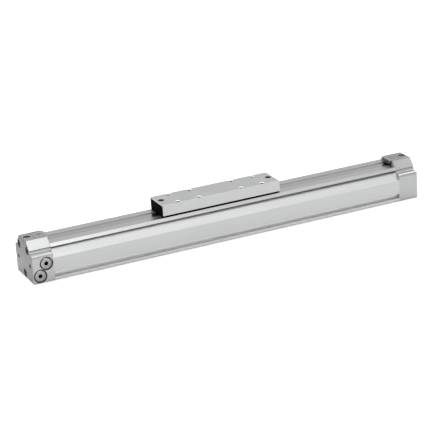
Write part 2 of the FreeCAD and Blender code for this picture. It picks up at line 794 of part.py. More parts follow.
def band_clamp(label, end, turn):
    """Insert that holds the ends of both bands in an end cap's channel."""
    body = new_body(label)
    reach = "Dims.clamp_channel_width / 2 - Dims.clamp_gap"
    start = "Dims.clamp_start + Dims.clamp_gap"
    section = new_sketch(body, "section", "YZ_Plane", start)
    add_outline(section, rectangle((minus(reach), CLAMP_UNDERSIDE), (reach, "Dims.cap_height")))
    extrude(body, "Pad", "insert", section, f"Dims.cap_length + Dims.clamp_overhang - ({start})")
    low = value(CLAMP_UNDERSIDE)
    wide = value(reach)
    dress(
        body, "Fillet", "lower_edges", "Dims.clamp_radius",
        lambda edge, middle: near(abs(middle.y), wide) and near(middle.z, low),
    )
    foot = "Dims.outer_recess_width / 2 - Dims.band_side_gap"
    add_block(
        body, "foot", (start, minus(foot), OUTER_BAND_TOP),
        ("Dims.clamp_foot_end", foot, f"{CLAMP_UNDERSIDE} + Dims.clamp_lift"),
    )
    spot = ("Dims.clamp_screw_from_end", "0", "Dims.cap_height")
    drill(body, "screw_recess", "Dims.clamp_screw_recess", "Dims.clamp_screw_recess_depth", spot, "-z")
    drill(body, "screw_hole", "Dims.clamp_screw_size + 2 * Dims.fit_gap", "Dims.cap_height", spot, "-z")
    place(body, x=end, turn=turn)


def band_clamp_screws():
    pattern = hidden_body("clamp_screw")
    socket_screw(
        pattern, "Dims.clamp_screw_size", "Dims.clamp_screw_length",
        "Dims.clamp_screw_head", "Dims.clamp_screw_head_height", "Dims.clamp_screw_socket",
    )
    along = f"{CAP_END} - Dims.clamp_screw_from_end"
    spots = [((minus(along), "0", CLAMP_SEAT), "+z"), ((along, "0", CLAMP_SEAT), "+z")]
    group("band_clamp_screws", pattern, spots)


def cushion_screw(side, end):
    """Cushion adjusting needle in the top of an end cap, and its sealing ring."""
    body = new_body(f"cushion_screw_{side}")
    top = "Dims.cap_height - Dims.needle_recess_depth + Dims.needle_head_height"
    seat = "Dims.cap_height - Dims.needle_recess_depth"
    add_round(body, "head", "Dims.needle_head_width", "Dims.needle_head_height", ("0", "0", seat), "+z")
    highest = value(top)
    dress(body, "Chamfer", "head_edge", "Dims.screw_edge", lambda edge, middle: near(middle.z, highest))
    shank = f"{seat} - Dims.needle_tip_height - Dims.needle_cone"
    add_round(body, "shank", "Dims.needle_width", shank, ("0", "0", seat), "-z")
    cone = body.newObject("PartDesign::AdditiveCone", "tip")
    cone.setExpression("Radius1", "Dims.needle_tip_width / 2")
    cone.setExpression("Radius2", "Dims.needle_width / 2")
    cone.setExpression("Height", "Dims.needle_cone")
    place(cone, z="Dims.needle_tip_height")
    cut_socket(body, "Dims.needle_socket", "Dims.socket_depth", top)
    groove_floor = "Dims.needle_ring_height - Dims.needle_ring_section / 2"
    groove = new_sketch(body, "ring_groove_outline", "XY_Plane", groove_floor)
    add_circle(groove, ("0", "0"), "Dims.needle_width / 2 - Dims.needle_ring_section")
    add_circle(groove, ("0", "0"), "Dims.needle_width / 2")
    extrude(body, "Pocket", "ring_groove", groove, "Dims.needle_ring_section", backwards=True)
    place(body, x=end)

    seal = new_body(f"cushion_screw_ring_{side}")
    torus = seal.newObject("PartDesign::AdditiveTorus", "ring")
    torus.setExpression("Radius1", "Dims.needle_width / 2 - Dims.needle_ring_section / 2")
    torus.setExpression("Radius2", "Dims.needle_ring_section / 2")
    aim(torus, ("0", "0", "Dims.needle_ring_height"), "+z")
    place(seal, x=end)


def add_arc(sketch, centre, start, finish, radius):
    """The short arc from start to finish; returns its index and the two end numbers."""
    angles = [math.atan2(value(spot[1]) - centre[1], value(spot[0]) - centre[0]) for spot in (start, finish)]
    forwards = (angles[1] - angles[0]) % (2 * math.pi) < math.pi
    low, high = angles if forwards else reversed(angles)
    circle = Part.Circle(FreeCAD.Vector(centre[0], centre[1], 0), Z_AXIS, value(radius))
    index = sketch.addGeometry(Part.ArcOfCircle(circle, low, high), False)
    ends = (1, 2) if forwards else (2, 1)
    pin_point(sketch, index, ends[0], start)
    constraint = sketch.addConstraint(Sketcher.Constraint("Radius", index, value(radius)))
    sketch.setExpression(f"Constraints[{constraint}]", str(radius))
    return index, ends


def band(label, width, thickness, low, rise, flat, ramp, reach, holes):
    """A steel band: straight at its ends and offset by rise where the carriage stands.

    The path is straight runs joined by pairs of equal tangent arcs.
    """
    body = new_body(label)
    middle = "Dims.carriage_offset"
    level = f"({low} + {thickness} / 2)"
    raised = f"({level} + {rise})"
    half_level = f"({level} + {rise} / 2)"
    turn = f"(2 * atan(abs({rise}) / {ramp}))"
    radius = f"({ramp} / (2 * sin({turn})))"
    outer = f"({flat} + {ramp})"
    halfway = f"({flat} + {ramp} / 2)"
    spots = [
        (minus(reach), level),
        (f"{middle} - {outer}", level),
        (f"{middle} - {halfway}", half_level),
        (f"{middle} - {flat}", raised),
        (f"{middle} + {flat}", raised),
        (f"{middle} + {halfway}", half_level),
        (f"{middle} + {outer}", level),
        (reach, level),
    ]
    upward = math.copysign(value(radius), value(rise))
    centre_of = {
        1: (value(spots[1][0]), value(level) + upward),
        2: (value(spots[3][0]), value(raised) - upward),
        4: (value(spots[4][0]), value(raised) - upward),
        5: (value(spots[6][0]), value(level) + upward),
    }
    path = new_sketch(body, "path", "XZ_Plane")
    previous = None
    for index, (start, finish) in enumerate(zip(spots, spots[1:])):
        if index in centre_of:
            piece, ends = add_arc(path, centre_of[index], start, finish, radius)
        else:
            corners = [FreeCAD.Vector(value(across), value(up), 0) for across, up in (start, finish)]
            piece = path.addGeometry(Part.LineSegment(*corners), False)
            ends = (1, 2)
            pin_point(path, piece, 1, start)
        if previous is not None:
            path.addConstraint(Sketcher.Constraint("Coincident", *previous, piece, ends[0]))
        previous = (piece, ends[1])
    pin_point(path, *previous, spots[-1])

    section = new_sketch(body, "section", "YZ_Plane", minus(reach))
    add_outline(section, rectangle(
        (minus(f"{width} / 2"), low), (f"{width} / 2", f"{low} + {thickness}"),
    ))
    DOC.recompute()
    pipe = body.newObject("PartDesign::AdditivePipe", "strip")
    pipe.Profile = section
    pipe.Spine = (path, [f"Edge{number}" for number in range(1, len(spots))])
    for end, sign in (("left", "-1"), ("right", "1")):
        drill(
            body, f"{end}_hole", holes, f"4 * {thickness}",
            (f"{sign} * ({CAP_END} - Dims.clamp_screw_from_end)", "0", f"{level} - 2 * {thickness}"), "+z",
        )


def bands():
    hole = "Dims.clamp_screw_size + 2 * Dims.band_side_gap"
    band(
        "outer_band", OUTER_BAND_WIDTH, "Dims.outer_band_thickness", RECESS_FLOOR, "Dims.outer_lift",
        "Dims.outer_lift_flat", OUTER_LIFT_RAMP, f"({CAP_END} - Dims.outer_band_reach)", hole,
    )
    band(
        "inner_band", INNER_BAND_WIDTH, "Dims.inner_band_thickness", BORE_TOP, "(-Dims.inner_dip)",
        "Dims.inner_dip_flat", INNER_DIP_RAMP, f"({BARREL_HALF} + Dims.inner_band_reach)", hole,
    )


def carriage():
    """Aluminium channel that straddles the lifted band, with the mounting threads on top."""
    body = new_body("carriage")
    half = "(Dims.carriage_width / 2)"
    section = new_sketch(body, "section", "YZ_Plane")
    add_outline(section, rectangle((minus(half), "Dims.carriage_underside"), (half, "Dims.carriage_top")))
    extrude(body, "Pad", "bar", section, "Dims.carriage_length", symmetric=True)
    top = value("Dims.carriage_top")
    wide = value(half)
    dress(
        body, "Fillet", "top_edges", "Dims.carriage_radius",
        lambda edge, middle: near(abs(middle.y), wide) and near(middle.z, top),
    )
    below = "Dims.carriage_underside - Dims.cut_past"
    reach = "Dims.channel_width / 2"
    past_end = f"({CARRIAGE_HALF} + Dims.cut_past)"
    mill(
        body, "band_channel", (minus(past_end), minus(reach), below), (past_end, reach, "Dims.channel_top"),
    )
    plate = ("Dims.plate_length / 2 + Dims.plate_gap", "Dims.plate_width / 2 + Dims.plate_gap")
    mill(
        body, "plate_pocket", (minus(plate[0]), minus(plate[1]), below), (*plate, "Dims.plate_top"),
    )
    for side, inner, outer in (
        ("front", minus("Dims.strip_tongue / 2"), minus("Dims.strip_inner / 2")),
        ("back", "Dims.strip_inner / 2", "Dims.strip_tongue / 2"),
    ):
        mill(
            body, f"{side}_strip_groove", (minus(past_end), inner, below),
            (past_end, outer, "Dims.carriage_underside + Dims.strip_tongue_height"),
        )
    inside = f"{half} - Dims.end_skin"
    for end, low, high in (
        ("left", minus(past_end), minus(COVER_INNER)),
        ("right", COVER_INNER, past_end),
    ):
        mill(
            body, f"{end}_end_pocket", (low, minus(inside), below),
            (high, inside, "Dims.carriage_top - Dims.end_skin"),
        )
    for number, sign in enumerate(("-1", "1")):
        spot = (f"{sign} * {COVER_SCREW_X}", "0", "Dims.carriage_top")
        drill(
            body, f"cover_recess_{number}", "Dims.cover_screw_recess", "Dims.cover_screw_recess_depth",
            spot, "-z",
        )
        drill(
            body, f"cover_hole_{number}", "Dims.cover_screw_size + 2 * Dims.fit_gap",
            "Dims.carriage_top - Dims.channel_top + Dims.cut_past", spot, "-z",
        )
    yoke_seat = "Dims.plate_bottom + Dims.yoke_screw_head_height"
    thread = f"{yoke_seat} + Dims.yoke_screw_length - Dims.plate_top + Dims.yoke_thread_spare"
    for number, (along, across) in enumerate(YOKE_SCREW_SPOTS):
        drill(
            body, f"yoke_thread_{number}", "Dims.yoke_screw_size", thread,
            (along, across, "Dims.plate_top"), "+z",
        )
    add_mount_threads(body)
    place(body, x="Dims.carriage_offset")


YOKE_SCREW_SPOTS = [
    (f"{first} * Dims.yoke_screw_along", f"{second} * Dims.yoke_screw_side")
    for first in ("-1", "1") for second in ("-1", "1")
]


def add_mount_threads(body):
    """Two rows of four countersunk threaded holes in the carriage's top."""
    DOC.recompute()
    spots = new_sketch(body, "mount_spots", "XY_Plane", "Dims.carriage_top")
    for pitch in ("Dims.mount_outer_pitch", "Dims.mount_inner_pitch"):
        for first in ("-1", "1"):
            for second in ("-1", "1"):
                spot = (f"{first} * {pitch} / 2", f"{second} * Dims.mount_row_pitch / 2")
                add_circle(spots, spot, "Dims.mount_hole_width / 2")
    DOC.recompute()
    holes = body.newObject("PartDesign::Hole", "mount_threads")
    holes.Profile = spots
    holes.setExpression("Diameter", "Dims.mount_hole_width")
    holes.DepthType = "Dimension"
    holes.setExpression("Depth", "Dims.mount_hole_depth")
    holes.DrillPoint = "Flat"
    holes.HoleCutType = "Countersink"
    holes.HoleCutCustomValues = True
    holes.setExpression("HoleCutDiameter", "Dims.mount_countersink")
    DOC.recompute()


def end_cover(side, turn):
    """Black cover in the end of the carriage, with the skid that presses the band down."""
    body = new_body(f"end_cover_{side}")
    reach = "Dims.carriage_width / 2 - Dims.end_skin - Dims.fit_gap"
    section = new_sketch(body, "section", "YZ_Plane", COVER_INNER)
    top = "Dims.carriage_top - Dims.end_skin - Dims.fit_gap"
    add_outline(section, rectangle((minus(reach), SKID_HEIGHT), (reach, top)))
    extrude(body, "Pad", "flange", section, "Dims.end_pocket_depth")

    profile = new_sketch(body, "skid_outline", "XZ_Plane")
    back = f"({COVER_INNER} - Dims.cover_body_length)"
    skid_end = f"({COVER_INNER} - Dims.wiper_thickness - Dims.cover_skid_length)"
    clear = f"({SKID_HEIGHT} + Dims.wiper_height + Dims.fit_gap)"
    wiper_back = f"({COVER_INNER} - Dims.wiper_thickness - Dims.fit_gap)"
    add_outline(profile, [
        (COVER_INNER, clear),
        (COVER_INNER, "Dims.channel_top"),
        (back, "Dims.channel_top"),
        (back, f"{SKID_HEIGHT} + Dims.cover_ramp_rise"),
        (skid_end, SKID_HEIGHT),
        (wiper_back, SKID_HEIGHT),
        (wiper_back, clear),
    ])
    extrude(
        body, "Pad", "skid", profile, "Dims.channel_width - 2 * Dims.fit_gap", symmetric=True,
    )
    drill(
        body, "screw_thread", "Dims.cover_screw_size", "Dims.cover_screw_length - Dims.fit_gap",
        (COVER_SCREW_X, "0", f"{COVER_SCREW_SEAT} - Dims.cover_screw_length"), "+z",
    )
    place(body, x="Dims.carriage_offset", turn=turn)


def end_cover_screws():
    pattern = hidden_body("cover_screw")
    socket_screw(
        pattern, "Dims.cover_screw_size", "Dims.cover_screw_length",
        "Dims.cover_screw_head", "Dims.cover_screw_head_height", "Dims.cover_screw_socket",
    )
    spots = [
        ((f"Dims.carriage_offset {sign} {COVER_SCREW_X}", "0", COVER_SCREW_SEAT), "+z")
        for sign in ("-", "+")
    ]
    group("end_cover_screws", pattern, spots)


def wiper(side, turn):
    """Rubber wiper behind an end cover, with a lip down in the band's recess."""
    body = new_body(f"wiper_{side}")
    section = new_sketch(body, "section", "YZ_Plane", f"{COVER_INNER} - Dims.wiper_thickness")
    reach = "Dims.carriage_width / 2 - Dims.end_skin"
    lip = "Dims.outer_recess_width / 2 - Dims.running_gap"
    half = [
        (lip, f"{OUTER_BAND_TOP} + Dims.running_gap"),
        (lip, f"{SKID_HEIGHT} - Dims.fit_gap"),
        (reach, f"{SKID_HEIGHT} - Dims.fit_gap"),
        (reach, f"{SKID_HEIGHT} + Dims.wiper_height"),
    ]
    add_outline(section, mirrored(half))
    extrude(body, "Pad", "blade", section, "Dims.wiper_thickness")
    place(body, x="Dims.carriage_offset", turn=turn)


def side_strip(side, sign):
    """Black strip under one side of the carriage, its tongue held in a groove."""
    body = new_body(f"side_strip_{side}")
    section = new_sketch(body, "section", "YZ_Plane")
    corners = [
        ("Dims.strip_inner / 2 + Dims.fit_gap", SKID_HEIGHT),
        ("Dims.strip_outer / 2", SKID_HEIGHT),
        ("Dims.strip_outer / 2", "Dims.carriage_underside"),
        ("Dims.strip_tongue / 2 - Dims.fit_gap", "Dims.carriage_underside"),
        ("Dims.strip_tongue / 2 - Dims.fit_gap", "Dims.carriage_underside + Dims.strip_tongue_height"),
        ("Dims.strip_inner / 2 + Dims.fit_gap", "Dims.carriage_underside + Dims.strip_tongue_height"),
    ]
    add_outline(section, [(f"{sign} * ({across})", up) for across, up in corners])
    length = f"2 * ({COVER_INNER} - Dims.wiper_thickness - Dims.fit_gap)"
    extrude(body, "Pad", "strip", section, length, symmetric=True)
    place(body, x="Dims.carriage_offset")


def piston_yoke():
    """Force bridge: a core in the bore, a web through the slot and a plate above it."""
    body = new_body("piston_yoke")
    add_round(
        body, "core", "Dims.bore_width - 2 * Dims.yoke_gap", "Dims.yoke_length",
        (minus(YOKE_HALF), "0", "Dims.bore_height"), "+x",
    )
    tunnel = new_sketch(body, "tunnel_outline", "XZ_Plane")
    past = f"({YOKE_HALF} + Dims.cut_past)"
    half = [
        (WEB_HALF, "Dims.tunnel_bottom"),
        (past, ramp_height(past)),
        (past, f"{BORE_TOP} + Dims.cut_past"),
        (WEB_HALF, f"{BORE_TOP} + Dims.cut_past"),
        (WEB_HALF, "Dims.tunnel_top"),
    ]
    add_outline(tunnel, mirrored(half))
    extrude(body, "Pocket", "tunnel", tunnel, "Dims.tunnel_width", symmetric=True)
    web = "Dims.slot_width / 2 - Dims.web_gap"
    add_block(
        body, "web", (minus(WEB_HALF), minus(web), "Dims.tunnel_top"),
        (WEB_HALF, web, "Dims.plate_bottom + Dims.web_gap"),
    )
    add_block(
        body, "plate", (minus("Dims.plate_length / 2"), minus("Dims.plate_width / 2"), "Dims.plate_bottom"),
        ("Dims.plate_length / 2", "Dims.plate_width / 2", "Dims.plate_top"),
    )
    for number, (along, across) in enumerate(YOKE_SCREW_SPOTS):
        drill(
            body, f"screw_hole_{number}", "Dims.yoke_screw_size + 2 * Dims.fit_gap",
            "Dims.plate_top - Dims.plate_bottom", (along, across, "Dims.plate_bottom"), "+z",
        )
        drill(
            body, f"screw_recess_{number}", "Dims.yoke_screw_head + 2 * Dims.fit_gap",
            "Dims.yoke_screw_head_height", (along, across, "Dims.plate_bottom"), "+z",
        )
    for end, start, direction in (("left", minus(YOKE_HALF), "+x"), ("right", YOKE_HALF, "-x")):
        drill(
            body, f"{end}_bolt_thread", "Dims.piston_bolt_size", "Dims.piston_bolt_hold",
            (start, "0", "Dims.bore_height"), direction,
        )
    place(body, x="Dims.carriage_offset")


def ramp_height(along):
    """Height of the band ramp's floor at a distance from the middle of the carriage."""
    slope = f"(Dims.tunnel_ramp_top - Dims.tunnel_bottom) / ({INNER_DIP_END} - {WEB_HALF})"
    return f"Dims.tunnel_bottom + ({along} - {WEB_HALF}) * {slope}"


def yoke_screws():
    pattern = hidden_body("yoke_screw")
    socket_screw(
        pattern, "Dims.yoke_screw_size", "Dims.yoke_screw_length",
        "Dims.yoke_screw_head", "Dims.yoke_screw_head_height", "Dims.yoke_screw_socket",
    )
    seat = "Dims.plate_bottom + Dims.yoke_screw_head_height"
    spots = [
        ((f"Dims.carriage_offset + {along}", across, seat), "-z") for along, across in YOKE_SCREW_SPOTS
    ]
    group("yoke_screws", pattern, spots)


def band_guide():
    """Plastic strip on the yoke's plate that the lifted outer band runs over."""
    body = new_body("band_guide")
    profile = new_sketch(body, "profile", "XZ_Plane")
    half = [
        ("Dims.plate_length / 2", "Dims.plate_top"),
        ("Dims.plate_length / 2 - Dims.guide_slope", "Dims.plate_top + Dims.guide_thickness"),
    ]
    add_outline(profile, mirrored(half))
    extrude(body, "Pad", "strip", profile, "Dims.guide_width", symmetric=True)
    place(body, x="Dims.carriage_offset")


def piston(side, turn):
    """Piston, drawn to the right of the yoke: grooves for its rings and a cushion bore."""
    body = new_body(f"piston_{side}")
    axis_height = "Dims.bore_height"
    add_round(
        body, "body", f"2 * {PISTON_RADIUS}", f"Dims.piston_reach - {YOKE_HALF}",
        (YOKE_HALF, "0", axis_height), "+x",
    )
    ramp = new_sketch(body, "ramp_outline", "XZ_Plane")
    before = f"({YOKE_HALF} - Dims.cut_past)"
    add_outline(ramp, [
        (before, ramp_height(before)),
        (INNER_DIP_END, "Dims.tunnel_ramp_top"),
        (INNER_DIP_END, f"{BORE_TOP} + Dims.cut_past"),
        (before, f"{BORE_TOP} + Dims.cut_past"),
    ])
    extrude(body, "Pocket", "ramp", ramp, "Dims.tunnel_width", symmetric=True)
    grooves = {
        "wear_ring_groove": ("Dims.wear_ring_depth", WEAR_RING_START, "Dims.wear_ring_width"),
        "magnet_groove": ("Dims.magnet_depth", MAGNET_START, "Dims.magnet_width"),
        "seal_groove": ("Dims.seal_depth", SEAL_START, "Dims.seal_width"),
    }
    for name, (depth, start, width) in grooves.items():
        cut_ring(
            body, name, f"{PISTON_RADIUS} - {depth}", "Dims.bore_width / 2", f"{start} - Dims.fit_gap",
            f"{width} + 2 * Dims.fit_gap",
        )
    drill(
        body, "cushion_bore", "Dims.piston_bore", "Dims.piston_bore_depth",
        ("Dims.piston_reach", "0", axis_height), "-x",
    )
    drill(
        body, "cushion_seal_seat", "Dims.cushion_seal_outer + 2 * Dims.fit_gap",
        "Dims.cushion_seal_width + 2 * Dims.fit_gap",
        ("Dims.piston_reach - Dims.cushion_seal_inset", "0", axis_height), "-x",
    )
    drill(
        body, "bolt_hole", "Dims.piston_bolt_size + 2 * Dims.bolt_hole_gap", f"{PISTON_FLOOR} - {YOKE_HALF}",
        (YOKE_HALF, "0", axis_height), "+x",
    )
    place(body, x="Dims.carriage_offset", turn=turn)


def piston_bolts():
    pattern = hidden_body("piston_bolt")
    socket_screw(
        pattern, "Dims.piston_bolt_size", PISTON_BOLT_LENGTH,
        "Dims.piston_bolt_head", "Dims.piston_bolt_head_height", "Dims.piston_bolt_socket",
    )
    spots = [
        ((f"Dims.carriage_offset - {PISTON_FLOOR}", "0", "Dims.bore_height"), "-x"),
        ((f"Dims.carriage_offset + {PISTON_FLOOR}", "0", "Dims.bore_height"), "+x"),
    ]
    group("piston_bolts", pattern, spots)


def piston_rings(side, turn):
    """Wear ring, magnet ring, lip seal and cushion seal of one piston."""
    here = {"x": "Dims.carriage_offset", "turn": turn}
    piston_width = f"2 * {PISTON_RADIUS}"
    ring(
        f"wear_ring_{side}", f"{piston_width} - 2 * Dims.wear_ring_depth",
        "Dims.bore_width - 2 * Dims.wear_ring_gap", WEAR_RING_START, "Dims.wear_ring_width", **here,
    )
    ring(
        f"magnet_ring_{side}", f"{piston_width} - 2 * Dims.magnet_depth",
        f"{piston_width} - 2 * Dims.running_gap", MAGNET_START, "Dims.magnet_width", **here,
    )
    seal = ring(
        f"piston_seal_{side}", f"{piston_width} - 2 * Dims.seal_depth",
        "Dims.bore_width - 2 * Dims.seal_gap", SEAL_START, "Dims.seal_width", **here,
    )
    cut_ring(
        seal, "lip_groove", "Dims.bore_width / 2 - Dims.seal_gap - 2 * Dims.seal_lip",
        "Dims.bore_width / 2 - Dims.seal_gap - Dims.seal_lip",
        f"{SEAL_START} + Dims.seal_width / 2", "Dims.seal_width",
    )
    ring(
        f"cushion_seal_{side}", "Dims.spigot_width + 2 * Dims.cushion_seal_gap", "Dims.cushion_seal_outer",
        "Dims.piston_reach - Dims.cushion_seal_inset - Dims.cushion_seal_width - Dims.fit_gap",
        "Dims.cushion_seal_width", **here,
    )


def build():
    """Make every piece; left is towards -X."""
    fill_sheet()
    barrel()
    for side, end, turn in (("left", minus(CAP_END), 0), ("right", CAP_END, 180)):
        end_cap(f"end_cap_{side}", end, turn, ported=side == "left")
        end_cap_ring(f"end_cap_ring_{side}", end, turn)
        cushion_spigot(f"cushion_spigot_{side}", end, turn)
        ring(
            f"end_buffer_{side}", "Dims.buffer_inner", "Dims.buffer_outer",
            f"{BOSS_FACE} - Dims.buffer_thickness + Dims.buffer_proud", "Dims.buffer_thickness",
            x=end, turn=turn,
        )
        band_clamp(f"band_clamp_{side}", end, turn)
    cushion_screw("left", f"-{CAP_END} + Dims.needle_from_end")
    cushion_screw("right", f"{CAP_END} - Dims.needle_from_end")
    end_cap_screws()
    port_plugs()
    band_clamp_screws()
    bands()
    carriage()
    for side, turn in (("left", 180), ("right", 0)):
        end_cover(side, turn)
        wiper(side, turn)
        piston(side, turn)
        piston_rings(side, turn)
    side_strip("front", "-1")
    side_strip("back", "1")
    end_cover_screws()
    piston_yoke()
    yoke_screws()
    band_guide()
    piston_bolts()


def check():
    """Stop if a feature has failed or a piece is empty or not valid."""
    DOC.recompute()
    failed = [item.Name for item in DOC.Objects if {"Invalid", "Error"} & set(item.State)]
    if failed:
        raise RuntimeError(f"failed features: {failed}")
    for label, item in NODES.items():
        if item.Shape.isNull() or not item.Shape.isValid() or not item.Shape.Solids:
            raise RuntimeError(f"{label} has no valid solid")


def export():
    """Write each node's shape to its own file."""
    os.makedirs("parts", exist_ok=True)
    for label, item in NODES.items():
        item.Shape.exportStep(os.path.join("parts", f"{label}.step"))
        print(label, len(item.Shape.Solids), round(item.Shape.Volume, 1))


build()
check()
export()
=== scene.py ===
# Rodless pneumatic cylinder: looks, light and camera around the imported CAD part.
# Blender works in metres. Sizes and places on the part are in millimetres, as in the CAD part.

import json
import math

import bmesh
import bpy
from mathutils import Matrix, Vector

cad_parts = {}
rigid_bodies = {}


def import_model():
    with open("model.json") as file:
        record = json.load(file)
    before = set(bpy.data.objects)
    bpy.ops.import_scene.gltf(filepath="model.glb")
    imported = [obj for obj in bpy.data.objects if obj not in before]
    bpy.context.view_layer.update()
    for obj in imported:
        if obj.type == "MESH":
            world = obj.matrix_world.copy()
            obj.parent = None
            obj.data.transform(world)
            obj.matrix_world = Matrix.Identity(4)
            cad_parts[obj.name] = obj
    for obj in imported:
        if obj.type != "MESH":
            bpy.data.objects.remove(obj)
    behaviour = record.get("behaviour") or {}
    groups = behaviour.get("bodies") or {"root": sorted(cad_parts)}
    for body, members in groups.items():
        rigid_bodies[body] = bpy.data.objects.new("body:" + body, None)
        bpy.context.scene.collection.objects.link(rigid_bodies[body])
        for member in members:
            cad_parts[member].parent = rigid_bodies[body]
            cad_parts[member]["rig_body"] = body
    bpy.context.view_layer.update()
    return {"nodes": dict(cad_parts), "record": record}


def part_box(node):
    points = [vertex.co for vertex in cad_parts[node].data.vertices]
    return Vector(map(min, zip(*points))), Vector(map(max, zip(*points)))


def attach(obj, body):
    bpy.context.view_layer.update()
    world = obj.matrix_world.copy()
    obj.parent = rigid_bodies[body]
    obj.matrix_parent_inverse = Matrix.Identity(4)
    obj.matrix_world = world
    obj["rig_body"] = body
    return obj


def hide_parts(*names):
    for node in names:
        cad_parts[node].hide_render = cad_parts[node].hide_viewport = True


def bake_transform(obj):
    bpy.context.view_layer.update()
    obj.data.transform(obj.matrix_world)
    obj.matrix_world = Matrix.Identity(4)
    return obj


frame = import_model()
nodes = frame["nodes"]

MM = 0.001
MICRON = 0.000001


def body_name(node):
    """The CAD body that a node rides on."""
    return nodes[node]["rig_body"]


def box_mm(node):
    """Lowest and highest corner of a node, in millimetres."""
    return [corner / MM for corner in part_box(node)]


def mount(name):
    """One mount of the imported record."""
    return next(entry for entry in frame["record"]["mounts"] if entry["name"] == name)


# Places on the part, from the frame

CAP_LOW, CAP_HIGH = box_mm("end_cap_left")
CLAMP_LOW, CLAMP_HIGH = box_mm("band_clamp_left")
NEEDLE_LOW, NEEDLE_HIGH = box_mm("cushion_screw_left")
CARRIAGE_LOW, CARRIAGE_HIGH = box_mm("carriage")
BAND_LOW, BAND_HIGH = box_mm("outer_band")

CAP_END = -CAP_LOW.x
CAP_TOP = CAP_HIGH.z
HALF_WIDTH = CAP_HIGH.y
CAP_SCREW_END = -box_mm("end_cap_screws")[0].x
PLUG_FACE = box_mm("port_plugs")[0].y
NEEDLE_TOP = NEEDLE_HIGH.z
CARRIAGE_X = (CARRIAGE_LOW.x + CARRIAGE_HIGH.x) / 2
CARRIAGE_TOP = CARRIAGE_HIGH.z


# Sizes of the features that get painted light or painted shade of their own, named as in the CAD part

SHELF_HEIGHT = 37.5
LEDGE_WIDTH = 43.0
CAP_SCREW_SIDE = 14.2
CAP_SCREW_HEIGHT = 39.7
CAP_SCREW_LOW = 5.6
CAP_SCREW_RECESS = 10.4
CAP_SCREW_SOCKET = 4.0
BRACKET_HOLE_WIDTH = 5.0
BRACKET_HOLE_DEPTH = 12.0
PORT_FACE_WIDTH = 17.7
PLUG_FACE_DEPTH = 3.8
PLUG_DISH_DEPTH = 0.5
PLUG_SOCKET = 5.2
NEEDLE_RECESS_WIDTH = 8.8
NEEDLE_SOCKET = 3.0
CLAMP_GAP = 0.4
BAND_SIDE_GAP = 0.15
GROOVE_BOTTOM = 4.3
GROOVE_MOUTH = 6.2
GROOVE_UNDERCUT = 1.0
GROOVE_DEPTH = 5.4
MOUNT_HOLE_WIDTH = 5.0
MOUNT_COUNTERSINK = 6.6
COVER_SCREW_FROM_END = 6.5
COVER_SCREW_RECESS = 8.0
COVER_SCREW_SOCKET = 3.0


# Node material helpers

class Material:
    """A node material with short calls for the nodes that it needs."""

    def __init__(self, name, color, roughness, metallic=0.0):
        self.data = bpy.data.materials.new(name)
        self.data.use_nodes = True
        self.tree = self.data.node_tree
        self.shader = self.tree.nodes["Principled BSDF"]
        self.shader.inputs["Base Color"].default_value = (*color, 1)
        self.shader.inputs["Roughness"].default_value = roughness
        self.shader.inputs["Metallic"].default_value = metallic
        self.color = color
        self.place = self.add("ShaderNodeTexCoord").outputs["Object"]
        self.relief = None

    def add(self, kind, **settings):
        """A new node with its settings."""
        node = self.tree.nodes.new(kind)
        for key, setting in settings.items():
            setattr(node, key, setting)
        return node

    def join(self, start, end):
        """A link between two sockets."""
        self.tree.links.new(start, end)

    def noise(self, scale, stretch=(1, 1, 1), detail=3.0, rough=0.55):
        """Noise with features about 1 / scale metres across, stretched along the axes."""
        mapping = self.add("ShaderNodeMapping")
        mapping.inputs["Scale"].default_value = [scale * amount for amount in stretch]
        self.join(self.place, mapping.inputs["Vector"])
        texture = self.add("ShaderNodeTexNoise")
        texture.inputs["Scale"].default_value = 1.0
        texture.inputs["Detail"].default_value = detail
        texture.inputs["Roughness"].default_value = rough
        self.join(mapping.outputs["Vector"], texture.inputs["Vector"])
        return texture.outputs["Fac"]

    def span(self, source, low, high, start=0.3, end=0.7):
        """A value mapped from start..end, where most of a noise lies, to low..high."""
        node = self.add("ShaderNodeMapRange")
        node.inputs["From Min"].default_value = start
        node.inputs["From Max"].default_value = end
        node.inputs["To Min"].default_value = low
        node.inputs["To Max"].default_value = high
        self.join(source, node.inputs["Value"])
        return node.outputs["Result"]

    def times(self, first, second):
        """Two values multiplied."""
        node = self.add("ShaderNodeMath", operation="MULTIPLY")
        self.join(first, node.inputs[0])
        self.join(second, node.inputs[1])
        return node.outputs[0]

    def tint(self, factor):
        """Base colour multiplied by a varying factor."""
        node = self.add("ShaderNodeVectorMath", operation="SCALE")
        node.inputs[0].default_value = self.color
        self.join(factor, node.inputs["Scale"])
        self.join(node.outputs["Vector"], self.shader.inputs["Base Color"])

    def gloss(self, value):
        """Varying roughness."""
        self.join(value, self.shader.inputs["Roughness"])

    def bump(self, height, distance):
        """One more layer of relief, distance metres high, over those before it."""
        node = self.add("ShaderNodeBump")
        node.inputs["Strength"].default_value = 1.0
        node.inputs["Distance"].default_value = distance
        self.join(height, node.inputs["Height"])
        if self.relief:
            self.join(self.relief, node.inputs["Normal"])
        self.relief = node.outputs["Normal"]
        self.join(self.relief, self.shader.inputs["Normal"])


# Stretch of a pattern's noise along x, y and z: small numbers draw it out along that axis

ALONG = (0.012, 1.0, 1.0)
ACROSS = (1.0, 0.03, 1.0)
EVEN = (1.0, 1.0, 1.0)


def cool_grey(tone, blue=1.012):
    """The colour of anodised aluminium: grey with a slight lean to blue."""
    return (tone, tone * 1.005, tone * blue)


